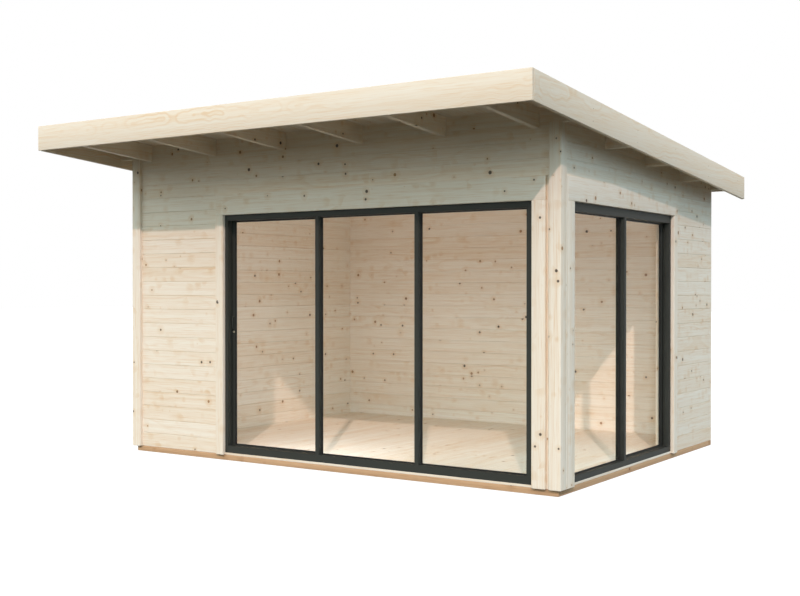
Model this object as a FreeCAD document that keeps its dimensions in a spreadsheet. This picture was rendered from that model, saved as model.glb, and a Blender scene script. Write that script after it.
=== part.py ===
import FreeCAD, Part
import Sketcher
import os
import re

# A pent-roof timber garden room: log walls between corner posts, two glazed units that meet
# near one corner, a flat-looking roof that falls to the back, and a deep canopy in front.
# Frame: +X to the right along the front, +Y to the back, +Z up. The origin is on the ground,
# under the middle of the roof's outline. Lengths are millimetres, the roof slope is degrees.

SIZES = {
    "wall_width": 4150,           # over the outer faces of the two corner posts
    "wall_depth": 3180,           # from the posts' front faces to the back wall's outer face
    "front_overhang": 840,
    "side_overhang": 215,
    "rear_overhang": 180,
    "roof_slope": 4.5,
    "base_height": 45,
    "base_width": 70,
    "joist_count": 5,
    "joist_width": 45,
    "floor_thickness": 19,
    "log_thickness": 44,
    "log_recess": 30,             # how far the logs lie behind the faces of posts and jambs
    "post_size": 92,
    "strip_width": 27,            # logs between a corner post and the jamb beside it
    "wide_jamb": 105,             # the jambs beside the glazed corner
    "narrow_jamb": 80,            # the jambs at the far end of each glazed unit
    "jamb_depth": 160,
    "sill_thickness": 18,
    "unit_height": 1972,          # outer height of a glazed unit
    "lintel_height": 170,
    "logs_over_lintel": 360,      # from the lintel to the underside of the front purlin
    "light_width": 895,           # clear width of one pane between its bars
    "mullion_width": 35,
    "fixed_stile": 53,
    "leaf_side_stile": 28,
    "frame_recess": 30,           # glazed unit behind the faces of posts and jambs
    "fixed_depth": 56,            # depth of the bars that hold the fixed panes
    "lip_thickness": 4,
    "lip_height": 14,
    "head_web": 15,
    "track_height": 20,
    "track_gap": 0.3,             # a leaf's bottom rail over its track
    "front_head": 45,
    "front_foot": 58,
    "side_head": 64,
    "side_foot": 44,
    "slide_gap": 5,               # clearance on each face of a leaf, and over its top rail
    "leaf_end_gap": 6,            # a closed leaf to the jamb
    "leaf_thickness": 24,
    "leaf_stile": 48,
    "interlock_width": 30,        # the slim stile that laps the mullion
    "interlock_lap": 5,
    "rail_show": 4,               # how far a leaf's rails stand past the head and the foot
    "pane_thickness": 14,
    "pane_setback": 37,           # a fixed pane behind the frame's face
    "handle_width": 12,
    "handle_length": 108,
    "handle_reach": 20,
    "handle_thickness": 7,
    "handle_base": 1024,          # underside of the handle over the underside of the unit
    "lock_diameter": 18,
    "lock_reach": 9,
    "lock_drop": 21,              # lock's axis below the handle
    "lock_inset": 9,              # axis of lock and handle from the inner edge of the stile
    "purlin_height": 150,
    "end_purlin_height": 105,     # the front and the back one, which lie on the walls
    "purlin_thickness": 44,
    "purlin_count": 5,
    "lookout_width": 45,
    "lookout_height": 140,
    "lookout_count": 6,
    "first_lookout": 200,         # right-hand lookout's middle from the right post's outer face
    "lookout_pitch": 750,
    "deck_thickness": 19,
    "covering_thickness": 4,
    "covering_drop": 10,          # covering below the top edge of the boards around the roof
    "edge_board_height": 200,
    "edge_board_thickness": 28,
    "rear_board_height": 120,
}

doc = FreeCAD.newDocument("garden_room")
sheet = doc.addObject("Spreadsheet::Sheet", "Sizes")
for row, (alias, size) in enumerate(SIZES.items(), 1):
    sheet.set(f"A{row}", alias)
    sheet.set(f"B{row}", str(size))
    sheet.setAlias(f"B{row}", alias)
doc.recompute()

pieces = []


def bound(formula):
    """Make a formula written in the sheet's aliases into an expression that reads the sheet."""
    return re.sub(r"[a-z_]+", lambda name: f"Sizes.{name[0]}" if name[0] in SIZES else name[0], formula)


def number(formula):
    """The present value of a formula."""
    return float(sheet.evalExpression(bound(formula)))


def place(thing, x="0", y="0", z="0", turn="0"):
    """Bind a sub-part's place, and its turn about the vertical, to formulas."""
    for axis, formula in zip("xyz", (x, y, z)):
        thing.setExpression(f"Placement.Base.{axis}", bound(formula))
    thing.Placement.Rotation.Axis = FreeCAD.Vector(0, 0, 1)
    thing.setExpression("Placement.Rotation.Angle", bound(turn))


def keep(thing, label):
    """Name a sub-part and list it for checking and writing."""
    thing.Label = label
    pieces.append(thing)
    return thing


def box(name, x, y, z):
    """A block from three pairs of formulas, the low and the high side along each axis."""
    block = doc.addObject("Part::Box", name)
    for side, (low, high) in zip(("Length", "Width", "Height"), (x, y, z)):
        block.setExpression(side, bound(f"({high}) - ({low})"))
    place(block, x[0], y[0], z[0])
    return block


def fused(name, blocks):
    """One solid from blocks that touch or overlap."""
    joined = doc.addObject("Part::MultiFuse", name)
    joined.Shapes = blocks
    joined.Refine = True
    return joined


def grouped(name, solids):
    """Like pieces that don't touch, as one sub-part."""
    group = doc.addObject("Part::Compound", name)
    group.Links = solids
    return group


def padded(name, plane, corners, start, length):
    """A Body padded from a closed outline of straight lines.

    plane YZ_Plane pads along +X from start, and XY_Plane pads along +Z from start. Each corner
    is a pair of formulas.
    """
    body = doc.addObject("PartDesign::Body", name)
    sketch = body.newObject("Sketcher::SketchObject", f"{name}_outline")
    base = next(item for item in body.Origin.OriginFeatures if item.Role == plane)
    sketch.AttachmentSupport = [(base, "")]
    sketch.MapMode = "FlatFace"
    points = [FreeCAD.Vector(number(across), number(up), 0) for across, up in corners]
    count = len(points)
    for index, point in enumerate(points):
        sketch.addGeometry(Part.LineSegment(point, points[(index + 1) % count]))
    for index in range(count):
        sketch.addConstraint(Sketcher.Constraint("Coincident", index, 2, (index + 1) % count, 1))
    for index, corner in enumerate(corners):
        for kind, formula in zip(("DistanceX", "DistanceY"), corner):
            datum = Sketcher.Constraint(kind, -1, 1, index, 1, number(formula))
            sketch.setExpression(f"Constraints[{sketch.addConstraint(datum)}]", bound(formula))
    pad = body.newObject("PartDesign::Pad", f"{name}_pad")
    pad.Profile = sketch
    pad.setExpression("Length", bound(length))
    if plane == "YZ_Plane":
        place(body, x=start)
    else:
        place(body, z=start)
    return body


# Plan: faces of the walls and lines of the roof, as formulas in the sheet's aliases.

ROOF_DEPTH = "(wall_depth + front_overhang + rear_overhang)"
ROOF_FRONT = f"(-{ROOF_DEPTH} / 2)"
ROOF_BACK = f"({ROOF_DEPTH} / 2)"
ROOF_RIGHT = "(wall_width / 2 + side_overhang)"
ROOF_LEFT = f"(-{ROOF_RIGHT})"

POST_RIGHT = "(wall_width / 2)"
POST_LEFT = "(-wall_width / 2)"
POST_FRONT = f"({ROOF_FRONT} + front_overhang)"
LOGS_RIGHT = f"({POST_RIGHT} - log_recess)"
LOGS_LEFT = f"({POST_LEFT} + log_recess)"
LOGS_FRONT = f"({POST_FRONT} + log_recess)"
LOGS_BACK = f"({ROOF_BACK} - rear_overhang)"
ROOM_RIGHT = f"({LOGS_RIGHT} - log_thickness)"
ROOM_LEFT = f"({LOGS_LEFT} + log_thickness)"
ROOM_FRONT = f"({LOGS_FRONT} + log_thickness)"
ROOM_BACK = f"({LOGS_BACK} - log_thickness)"

# The glazed corner: post, strip of logs and wide jamb, the same along both walls.
CORNER_DEPTH = "(post_size + strip_width)"
CORNER_WIDTH = f"({CORNER_DEPTH} + wide_jamb)"
FRONT_UNIT_WIDTH = "(fixed_stile * 2 + light_width * 3 + mullion_width * 2)"
SIDE_UNIT_WIDTH = "(fixed_stile * 2 + light_width * 2 + mullion_width)"
FRONT_UNIT_RIGHT = f"({POST_RIGHT} - {CORNER_WIDTH})"
FRONT_UNIT_LEFT = f"({FRONT_UNIT_RIGHT} - {FRONT_UNIT_WIDTH})"
SIDE_UNIT_FRONT = f"({POST_FRONT} + {CORNER_WIDTH})"
SIDE_UNIT_BACK = f"({SIDE_UNIT_FRONT} + {SIDE_UNIT_WIDTH})"
FRONT_JAMB_OUTER = f"({FRONT_UNIT_LEFT} - narrow_jamb)"
SIDE_JAMB_OUTER = f"({SIDE_UNIT_BACK} + narrow_jamb)"

# Heights.
UNIT_BOTTOM = "(base_height + sill_thickness)"
UNIT_TOP = f"({UNIT_BOTTOM} + unit_height)"
LINTEL_TOP = f"({UNIT_TOP} + lintel_height)"
FRONT_WALL_TOP = f"({LINTEL_TOP} + logs_over_lintel)"


def deck_under(y):
    """Height of the roof deck's underside: a straight fall from over the front purlin."""
    return f"({FRONT_WALL_TOP} + end_purlin_height - ({y} - {LOGS_FRONT}) * tan(roof_slope))"


def board_top(y):
    """Height of the top edge of the boards around the roof."""
    return f"({deck_under(y)} + deck_thickness + covering_thickness + covering_drop)"


def purlin_front(index):
    """Front face of a purlin. The first and the last are flush with the walls' outer faces."""
    reach = f"({LOGS_BACK} - purlin_thickness - {LOGS_FRONT})"
    return f"({LOGS_FRONT} + {reach} * {index} / (purlin_count - 1))"


def purlin_under(index):
    """Level underside of a purlin. The first and the last are lower beams than the others."""
    at_end = index in (0, SIZES["purlin_count"] - 1)
    height = "end_purlin_height" if at_end else "purlin_height"
    return f"({deck_under(purlin_front(index))} - {height})"


def sloping_top(start, end, notches):
    """Corners of a wall's top from start to end, stepping down around each notched purlin."""
    corners = [(start, deck_under(start))]
    for index in notches:
        near = purlin_front(index)
        far = f"({near} + purlin_thickness)"
        corners += [(near, deck_under(near)), (near, purlin_under(index))]
        if index < SIZES["purlin_count"] - 1:
            corners += [(far, purlin_under(index)), (far, deck_under(far))]
    last = SIZES["purlin_count"] - 1
    corners.append((end, purlin_under(last)))
    return corners


def make_base():
    front = box("base_beam_front", (LOGS_LEFT, LOGS_RIGHT), (LOGS_FRONT, f"{LOGS_FRONT} + base_width"),
                ("0", "base_height"))
    keep(front, "base_beam_front")
    back = box("base_beam_back", (LOGS_LEFT, LOGS_RIGHT), (f"{LOGS_BACK} - base_width", LOGS_BACK),
               ("0", "base_height"))
    keep(back, "base_beam_back")
    run = (f"{LOGS_FRONT} + base_width", f"{LOGS_BACK} - base_width")
    left = box("base_beam_left", (LOGS_LEFT, f"{LOGS_LEFT} + base_width"), run, ("0", "base_height"))
    right = box("base_beam_right", (f"{LOGS_RIGHT} - base_width", LOGS_RIGHT), run, ("0", "base_height"))
    keep(grouped("base_side_pair", [left, right]), "base_beams_side")


def make_floor():
    """Joists from side to side, and over them one slab for the boards that run front to back."""
    run = (f"{LOGS_LEFT} + base_width", f"{LOGS_RIGHT} - base_width")
    joists = []
    for index in range(1, SIZES["joist_count"] + 1):
        middle = f"({LOGS_FRONT} + ({LOGS_BACK} - {LOGS_FRONT}) * {index} / (joist_count + 1))"
        across = (f"{middle} - joist_width / 2", f"{middle} + joist_width / 2")
        joists.append(box(f"joist_{index}", run, across, ("0", "base_height")))
    keep(grouped("joist_set", joists), "floor_joists")

    post_inner_left = f"({POST_LEFT} + post_size)"
    post_inner_front = f"({POST_FRONT} + post_size)"
    sill_back = f"({POST_FRONT} + jamb_depth)"
    sill_inner = f"({POST_RIGHT} - jamb_depth)"
    corner_front = f"({POST_FRONT} + {CORNER_DEPTH})"
    corner_right = f"({POST_RIGHT} - {CORNER_DEPTH})"
    corners = [
        (ROOM_LEFT, post_inner_front),
        (post_inner_left, post_inner_front),
        (post_inner_left, ROOM_FRONT),
        (FRONT_JAMB_OUTER, ROOM_FRONT),
        (FRONT_JAMB_OUTER, sill_back),
        (FRONT_UNIT_RIGHT, sill_back),
        (FRONT_UNIT_RIGHT, corner_front),
        (corner_right, corner_front),
        (corner_right, SIDE_UNIT_FRONT),
        (sill_inner, SIDE_UNIT_FRONT),
        (sill_inner, SIDE_JAMB_OUTER),
        (ROOM_RIGHT, SIDE_JAMB_OUTER),
        (ROOM_RIGHT, ROOM_BACK),
        (ROOM_LEFT, ROOM_BACK),
    ]
    keep(padded("floor_body", "XY_Plane", corners, "base_height", "floor_thickness"), "floor_boards")


def make_posts():
    along = (POST_FRONT, f"{POST_FRONT} + post_size")
    height = ("base_height", FRONT_WALL_TOP)
    left = box("post_left", (POST_LEFT, f"{POST_LEFT} + post_size"), along, height)
    keep(left, "corner_post_left")
    right = box("post_right", (f"{POST_RIGHT} - post_size", POST_RIGHT), along, height)
    keep(right, "corner_post_right")


def make_front_wall():
    thick = (LOGS_FRONT, ROOM_FRONT)
    post_inner_left = f"({POST_LEFT} + post_size)"
    post_inner_right = f"({POST_RIGHT} - post_size)"
    low = ("base_height", LINTEL_TOP)
    keep(box("logs_front_left", (post_inner_left, FRONT_JAMB_OUTER), thick, low), "front_wall_left")
    top = box("logs_front_top", (post_inner_left, post_inner_right), thick, (LINTEL_TOP, FRONT_WALL_TOP))
    keep(top, "front_wall_top")


def make_corner_strips():
    """Fillings between the glazed corner's post and its two wide jambs: in front the end of a log,
    and at the side a thicker one that is flush with both."""
    height = ("base_height", LINTEL_TOP)
    front = box("strip_front", (f"{POST_RIGHT} - {CORNER_DEPTH}", f"{POST_RIGHT} - post_size"),
                (LOGS_FRONT, ROOM_FRONT), height)
    side = box("strip_side", (ROOM_RIGHT, POST_RIGHT),
               (f"{POST_FRONT} + post_size", f"{POST_FRONT} + {CORNER_DEPTH}"), height)
    keep(grouped("strip_pair", [front, side]), "corner_strips")


def make_side_walls():
    """The glazed right wall, and the plain left wall, with tops that follow the roof."""
    last = SIZES["purlin_count"] - 1
    notches = range(1, last + 1)
    post_back = f"({POST_FRONT} + post_size)"
    purlin_back = f"({LOGS_FRONT} + purlin_thickness)"
    over_post = [(post_back, FRONT_WALL_TOP), (purlin_back, FRONT_WALL_TOP)]
    top_line = sloping_top(purlin_back, LOGS_BACK, notches)

    rear = box("logs_side_rear", (ROOM_RIGHT, LOGS_RIGHT), (SIDE_JAMB_OUTER, LOGS_BACK),
               ("base_height", LINTEL_TOP))
    keep(rear, "side_wall_rear")
    outline = [(post_back, LINTEL_TOP)] + over_post + top_line + [(LOGS_BACK, LINTEL_TOP)]
    keep(padded("logs_side_top", "YZ_Plane", outline, ROOM_RIGHT, "log_thickness"), "side_wall_top")
    outline = [(post_back, "base_height")] + over_post + top_line + [(LOGS_BACK, "base_height")]
    keep(padded("logs_left", "YZ_Plane", outline, LOGS_LEFT, "log_thickness"), "left_wall")


def make_back_wall():
    last = SIZES["purlin_count"] - 1
    wall = box("logs_back", (ROOM_LEFT, ROOM_RIGHT), (ROOM_BACK, LOGS_BACK),
               ("base_height", purlin_under(last)))
    keep(wall, "back_wall")


def make_jambs():
    height = ("base_height", UNIT_TOP)
    deep = (POST_FRONT, f"{POST_FRONT} + jamb_depth")
    shallow = (POST_FRONT, f"{POST_FRONT} + {CORNER_DEPTH}")
    keep(box("jamb_front_left", (FRONT_JAMB_OUTER, FRONT_UNIT_LEFT), deep, height), "front_jamb_left")
    keep(box("jamb_front_right", (FRONT_UNIT_RIGHT, f"{POST_RIGHT} - {CORNER_DEPTH}"), shallow, height),
         "front_jamb_right")
    keep(box("jamb_side_front", (f"{POST_RIGHT} - {CORNER_DEPTH}", POST_RIGHT),
             (f"{POST_FRONT} + {CORNER_DEPTH}", SIDE_UNIT_FRONT), height), "side_jamb_front")
    keep(box("jamb_side_rear", (f"{POST_RIGHT} - jamb_depth", POST_RIGHT),
             (SIDE_UNIT_BACK, SIDE_JAMB_OUTER), height), "side_jamb_rear")


def make_lintels():
    height = (UNIT_TOP, LINTEL_TOP)
    front = box("lintel_front", (FRONT_JAMB_OUTER, f"{POST_RIGHT} - {CORNER_DEPTH}"),
                (POST_FRONT, f"{POST_FRONT} + {CORNER_DEPTH}"), height)
    keep(front, "front_lintel")
    side = box("lintel_side", (f"{POST_RIGHT} - {CORNER_DEPTH}", POST_RIGHT),
               (f"{POST_FRONT} + {CORNER_DEPTH}", SIDE_JAMB_OUTER), height)
    keep(side, "side_lintel")


def make_sills():
    height = ("base_height", UNIT_BOTTOM)
    front = box("sill_front", (FRONT_UNIT_LEFT, FRONT_UNIT_RIGHT),
                (f"{POST_FRONT} + frame_recess", f"{POST_FRONT} + jamb_depth"), height)
    side = box("sill_side", (f"{POST_RIGHT} - jamb_depth", f"{POST_RIGHT} - frame_recess"),
               (SIDE_UNIT_FRONT, SIDE_UNIT_BACK), height)
    keep(grouped("sill_pair", [front, side]), "sills")


# Glazed units. Each is drawn in a frame of its own: x from its left end as seen from outside,
# y inwards from its outer face, z up from its underside. It is then turned and put in its wall.

LEAF_FRONT = "(fixed_depth + slide_gap)"
LEAF_BACK = f"({LEAF_FRONT} + leaf_thickness)"
UNIT_DEPTH = f"({LEAF_BACK} + slide_gap + lip_thickness)"


def unit_width(lights):
    return f"(fixed_stile * 2 + light_width * {lights} + mullion_width * {lights - 1})"


def light_left(index):
    """Left edge of a light. All lights have one pitch, whichever of them the leaf closes."""
    return f"(fixed_stile + (light_width + mullion_width) * {index})"


def light_right(index):
    return f"({light_left(index)} + light_width)"


def seat_front(piece, label):
    keep(piece, label)
    place(piece, FRONT_UNIT_LEFT, f"{POST_FRONT} + frame_recess", UNIT_BOTTOM)


def seat_side(piece, label):
    keep(piece, label)
    place(piece, f"{POST_RIGHT} - frame_recess", SIDE_UNIT_FRONT, UNIT_BOTTOM, turn="90")


def make_frame(side, seat, lights, leaf_light, head, foot):
    """Head with its guide, sill with its track, and the uprights between them."""
    whole = ("0", unit_width(lights))
    face = ("0", "fixed_depth")
    behind = ("fixed_depth", UNIT_DEPTH)
    lip = (f"{UNIT_DEPTH} - lip_thickness", UNIT_DEPTH)
    web_under = "(unit_height - head_web)"
    seat(fused(f"{side}_head_parts", [
        box(f"{side}_head_face", whole, face, (f"unit_height - {head}", "unit_height")),
        box(f"{side}_head_web", whole, behind, (web_under, "unit_height")),
        box(f"{side}_head_lip", whole, lip, (f"{web_under} - lip_height", web_under)),
    ]), f"{side}_frame_head")
    seat(fused(f"{side}_sill_parts", [
        box(f"{side}_sill_face", whole, face, ("0", foot)),
        box(f"{side}_sill_track", whole, behind, ("0", "track_height")),
        box(f"{side}_sill_lip", whole, lip, ("track_height", "track_height + lip_height")),
    ]), f"{side}_frame_sill")

    left_stile = "leaf_side_stile" if leaf_light == 0 else "fixed_stile"
    right_stile = "leaf_side_stile" if leaf_light == lights - 1 else "fixed_stile"
    spans = [("0", left_stile), (f"{whole[1]} - {right_stile}", whole[1])]
    spans += [(light_right(index), light_left(index + 1)) for index in range(lights - 1)]
    height = (foot, f"unit_height - {head}")
    uprights = [box(f"{side}_upright_{order}", span, face, height) for order, span in enumerate(spans)]
    seat(grouped(f"{side}_upright_set", uprights), f"{side}_frame_uprights")


def make_fixed_panes(side, seat, lights, leaf_light, head, foot):
    depth = ("pane_setback", "pane_setback + pane_thickness")
    height = (foot, f"unit_height - {head}")
    panes = [box(f"{side}_pane_{index}", (light_left(index), light_right(index)), depth, height)
             for index in range(lights) if index != leaf_light]
    seat(grouped(f"{side}_pane_set", panes), f"{side}_fixed_pane" + "s" * (len(panes) > 1))


def make_leaf(side, seat, lights, leaf_light, head, foot):
    """The sliding leaf behind the fixed panes: a ring of stiles and rails, and its pane."""
    if leaf_light == 0:
        outer = ("leaf_end_gap", f"{light_right(0)} + interlock_lap")
        inner = ("leaf_end_gap + leaf_stile", f"{outer[1]} - interlock_width")
    else:
        outer = (f"{light_left(leaf_light)} - interlock_lap", f"{unit_width(lights)} - leaf_end_gap")
        inner = (f"{outer[0]} + interlock_width", f"{outer[1]} - leaf_stile")
    depth = (LEAF_FRONT, LEAF_BACK)
    pane_height = (f"{foot} + rail_show", f"unit_height - {head} - rail_show")
    ring = doc.addObject("Part::Cut", f"{side}_leaf_ring")
    ring.Base = box(f"{side}_leaf_blank", outer, depth,
                    ("track_height + track_gap", "unit_height - head_web - slide_gap"))
    ring.Tool = box(f"{side}_leaf_gap", inner, depth, pane_height)
    seat(ring, f"{side}_leaf")
    middle = f"({LEAF_FRONT} + {LEAF_BACK}) / 2"
    thick = (f"{middle} - pane_thickness / 2", f"{middle} + pane_thickness / 2")
    seat(grouped(f"{side}_leaf_glass", [box(f"{side}_leaf_sheet", inner, thick, pane_height)]),
         f"{side}_leaf_pane")


def make_handle(seat):
    """A slim pull on two feet, and a lock cylinder under it, on the outer stile of a leaf."""
    axis = "(leaf_end_gap + leaf_stile - lock_inset)"
    across = (f"{axis} - handle_width / 2", f"{axis} + handle_width / 2")
    outer = f"({LEAF_FRONT} - handle_reach)"
    top = "(handle_base + handle_length)"
    seat(fused("pull_parts", [
        box("pull_bar", across, (outer, f"{outer} + handle_thickness"), ("handle_base", top)),
        box("pull_foot_low", across, (outer, LEAF_FRONT), ("handle_base", "handle_base + handle_width")),
        box("pull_foot_high", across, (outer, LEAF_FRONT), (f"{top} - handle_width", top)),
    ]), "front_handle")
    lock = doc.addObject("Part::Cylinder", "lock_cylinder")
    lock.setExpression("Radius", bound("lock_diameter / 2"))
    lock.setExpression("Height", bound("lock_reach"))
    lock.Placement.Rotation = FreeCAD.Rotation(FreeCAD.Vector(1, 0, 0), 90)
    for direction, formula in zip("xyz", (axis, LEAF_FRONT, "handle_base - lock_drop")):
        lock.setExpression(f"Placement.Base.{direction}", bound(formula))
    seat(grouped("lock_body", [lock]), "front_lock")


def make_glazing():
    for make in (make_frame, make_fixed_panes, make_leaf):
        make("front", seat_front, 3, 0, "front_head", "front_foot")
        make("side", seat_side, 2, 1, "side_head", "side_foot")
    make_handle(seat_front)


# Roof.

BOARDS_LEFT = f"({ROOF_LEFT} + edge_board_thickness)"
BOARDS_RIGHT = f"({ROOF_RIGHT} - edge_board_thickness)"
BOARDS_FRONT = f"({ROOF_FRONT} + edge_board_thickness)"
BOARDS_BACK = f"({ROOF_BACK} - edge_board_thickness)"
ROOF_CLEAR_WIDTH = f"({BOARDS_RIGHT} - {BOARDS_LEFT})"


def make_purlins():
    middle_purlins = []
    for index in range(SIZES["purlin_count"]):
        near = purlin_front(index)
        far = f"({near} + purlin_thickness)"
        corners = [(near, purlin_under(index)), (far, purlin_under(index)),
                   (far, deck_under(far)), (near, deck_under(near))]
        purlin = padded(f"purlin_{index}", "YZ_Plane", corners, BOARDS_LEFT, ROOF_CLEAR_WIDTH)
        if index == 0:
            keep(purlin, "front_purlin")
        elif index == SIZES["purlin_count"] - 1:
            keep(purlin, "back_purlin")
        else:
            middle_purlins.append(purlin)
    keep(grouped("middle_purlin_set", middle_purlins), "middle_purlins")


def sloping_slab(name, front, back, low, high, start, width):
    """A Body between two sloping lines, from front to back, as wide as asked."""
    corners = [(front, low(front)), (back, low(back)), (back, high(back)), (front, high(front))]
    return padded(name, "YZ_Plane", corners, start, width)


def make_lookouts():
    """Canopy rafters from the front purlin out to the front board."""
    lookouts = []
    for index in range(SIZES["lookout_count"]):
        start = f"({POST_RIGHT} - first_lookout - lookout_pitch * {index} - lookout_width / 2)"
        lookouts.append(sloping_slab(f"lookout_{index}", BOARDS_FRONT, LOGS_FRONT,
                                     lambda y: f"({deck_under(y)} - lookout_height)", deck_under,
                                     start, "lookout_width"))
    keep(grouped("lookout_set", lookouts), "canopy_lookouts")


def make_roof_skin():
    def deck_top(y):
        return f"({deck_under(y)} + deck_thickness)"

    def covering_top(y):
        return f"({deck_top(y)} + covering_thickness)"

    deck = sloping_slab("deck_body", BOARDS_FRONT, BOARDS_BACK, deck_under, deck_top,
                        BOARDS_LEFT, ROOF_CLEAR_WIDTH)
    keep(deck, "roof_deck")
    covering = sloping_slab("covering_body", BOARDS_FRONT, BOARDS_BACK, deck_top, covering_top,
                            BOARDS_LEFT, ROOF_CLEAR_WIDTH)
    keep(covering, "roof_covering")


def make_edge_boards():
    """The front board runs over the ends of the side boards; the lower rear board lies between them."""
    front_top = board_top(ROOF_FRONT)
    keep(box("board_front", (ROOF_LEFT, ROOF_RIGHT), (ROOF_FRONT, BOARDS_FRONT),
             (f"{front_top} - edge_board_height", front_top)), "front_fascia")
    rear_top = board_top(ROOF_BACK)
    keep(box("board_rear", (BOARDS_LEFT, BOARDS_RIGHT), (BOARDS_BACK, ROOF_BACK),
             (f"{rear_top} - rear_board_height", rear_top)), "rear_fascia")
    for label, start in (("left_verge", ROOF_LEFT), ("right_verge", BOARDS_RIGHT)):
        board = sloping_slab(f"{label}_body", BOARDS_FRONT, ROOF_BACK,
                             lambda y: f"({board_top(y)} - edge_board_height)", board_top,
                             start, "edge_board_thickness")
        keep(board, label)


make_base()
make_floor()
make_posts()
make_front_wall()
make_corner_strips()
make_side_walls()
make_back_wall()
make_jambs()
make_lintels()
make_sills()
make_glazing()
make_purlins()
make_lookouts()
make_roof_skin()
make_edge_boards()
doc.recompute()

for item in doc.Objects:
    if "Invalid" in item.State or "Error" in item.State:
        raise RuntimeError(f"{item.Name} did not build: {item.State}")
for piece in pieces:
    if piece.Shape.isNull() or not piece.Shape.isValid():
        raise RuntimeError(f"{piece.Label} has no valid shape")

os.makedirs("parts", exist_ok=True)
for piece in pieces:
    piece.Shape.exportStep(f"parts/{piece.Label}.step")
print(f"{len(pieces)} sub-parts written")
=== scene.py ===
"""Looks of a timber garden room: log walls between corner posts, two glazed units that meet near
one corner, and a pent roof with a deep canopy. Everything is in metres, in the CAD model's frame:
+X to the right along the front, +Y to the back, +Z up from the ground."""

import math

import bpy
import numpy as np
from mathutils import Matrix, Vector


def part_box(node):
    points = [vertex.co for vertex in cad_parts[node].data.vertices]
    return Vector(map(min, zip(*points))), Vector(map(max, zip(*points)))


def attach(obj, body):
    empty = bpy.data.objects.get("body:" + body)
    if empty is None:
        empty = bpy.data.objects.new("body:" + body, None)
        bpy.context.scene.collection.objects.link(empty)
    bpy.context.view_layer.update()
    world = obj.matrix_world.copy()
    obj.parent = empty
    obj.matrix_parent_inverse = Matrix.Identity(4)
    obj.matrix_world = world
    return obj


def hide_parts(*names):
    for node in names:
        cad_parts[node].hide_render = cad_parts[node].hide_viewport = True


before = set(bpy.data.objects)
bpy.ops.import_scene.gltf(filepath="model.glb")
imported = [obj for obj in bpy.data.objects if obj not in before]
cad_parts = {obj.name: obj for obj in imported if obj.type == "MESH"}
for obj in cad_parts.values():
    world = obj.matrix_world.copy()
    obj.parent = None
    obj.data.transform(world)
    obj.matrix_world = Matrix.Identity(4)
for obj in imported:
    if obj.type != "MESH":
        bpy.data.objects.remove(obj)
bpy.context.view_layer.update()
draw = np.random.default_rng(44)

# Sizes that the frame doesn't give, in metres.
LOG_COVER = 0.120        # height that one log adds to a wall
LOG_CHAMFER = 0.0012     # on the upper arrises of a log
LOG_DRIP = 0.0042        # on its lower arrises, so that a joint reads as a shadow
BOARD_COVER = 0.096      # width that one floor or roof board covers
BOARD_CHAMFER = 0.002
DECK_THICKNESS = 0.019
EASE = 0.003             # rounding on the arrises of planed timber
EDGE_EASE = 0.002        # and on those of the roof's edge boards and the sills
BAR_EASE = 0.0012        # rounding on the arrises of aluminium bars
SHARP = math.radians(38)      # faces that meet at more than this keep a sharp arris
THIN = 0.001             # a slice of log lower than this is left out
PITH_ASIDE = 0.35        # how far off a board's middle its pith may lie, as a share of its width
PITH_AWAY = (1.2, 2.6)   # and how many thicknesses it lies above or below that middle
SHEETS = 4               # roof sheets between the front and the back
SHEET_LAP = 0.080
LAP_THICKNESS = 1.6      # of the covering at a lap, in sheets
NAIL_SIDES = 12
NAIL_RADIUS = 0.0035
NAIL_PROUD = 0.0006
NAIL_DROPS = (0.032, 0.118)   # from the top of a purlin down to the two nails into its end
NAIL_ASTRAY = 0.004      # how far a nail may be out of line along the roof
NAIL_UNEVEN = 0.003      # and how far up or down
FACE_DEPTH = 0.056       # depth of the bars that hold the fixed panes
UNIT_DEPTH = 0.094       # depth of the head and the sill
LIP_DEPTH = 0.090        # from the face of a unit to the lip behind its leaf
RUBBER_WIDTH = 0.005
RUBBER_PROUD = 0.003
RUBBER_EASE = 0.001
SPACER_WIDTH = 0.007
SPACER_EASE = 0.0008
GLASS_SHEET = 0.004      # one of the two sheets in a pane
TRACK_HEIGHT = 0.020     # from the underside of a unit to the floor that its leaf runs on
HEAD_WEB = 0.015         # from the top of a unit down to the channel over its leaf
LIP_HEIGHT = 0.014
PULL_THICKNESS = 0.007
PULL_BEND = 0.010        # radius on which the pull turns
PULL_EASE = 0.0015
PULL_ROOT = 0.001        # how far its feet go into the leaf
LOCK_SIDES = 40
LOCK_ROUND = 0.003       # radius of the rose's edge
LOCK_ROOT = 0.0005       # how far the rose goes into the leaf
PLUG_RISE = 0.0015       # how far the plug stands out of the rose
PLUG_REACH = (0.0056, 0.0050, 0.0044)   # radius of the plug at its foot, its shoulder and its face
PLUG_EASE = 0.0004       # from the plug's shoulder to its face
KEYWAY_HALF = (0.0007, 0.0002, 0.0034)  # half the width, depth and height of the black patch that paints the keyway's shade
KEYWAY_EASE = 0.0002

# Light, as linear red, green and blue.
SUN_COLOUR = (1.53, 1.17, 1.13)
SKY_COLOUR = (0.90, 1.05, 1.06)
HORIZON_SKY = (0.30, 0.30, 0.27, 1.0)    # what the sky is multiplied by at the horizon
HIGH_SKY = (1.23, 1.23, 1.23, 1.0)       # and from 13 degrees up
SKY_CLIMB = 0.22         # the sine of 13 degrees
SKY_RIGHT = (-0.05, 0.10, 0.26)    # what the sky gains on the right, and loses on the left
SKY_FRONT = (-0.20, -0.85, 0.10)   # towards its brightest place, in front and a little to the left
SKY_LEAN = 0.62          # how steeply it brightens that way
ROOM_COLOUR = (1.0, 1.04, 1.20)
ROOM_GLOW = {"front": 2.10, "side": 0.36}   # brightness of the soft light through each unit
ROOM_SPAN = {"front": 0.50, "side": 1.0}    # share of the unit that it covers, from its low end
ROOM_INSET = 0.03        # from the inner face of a unit to its soft light
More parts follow.
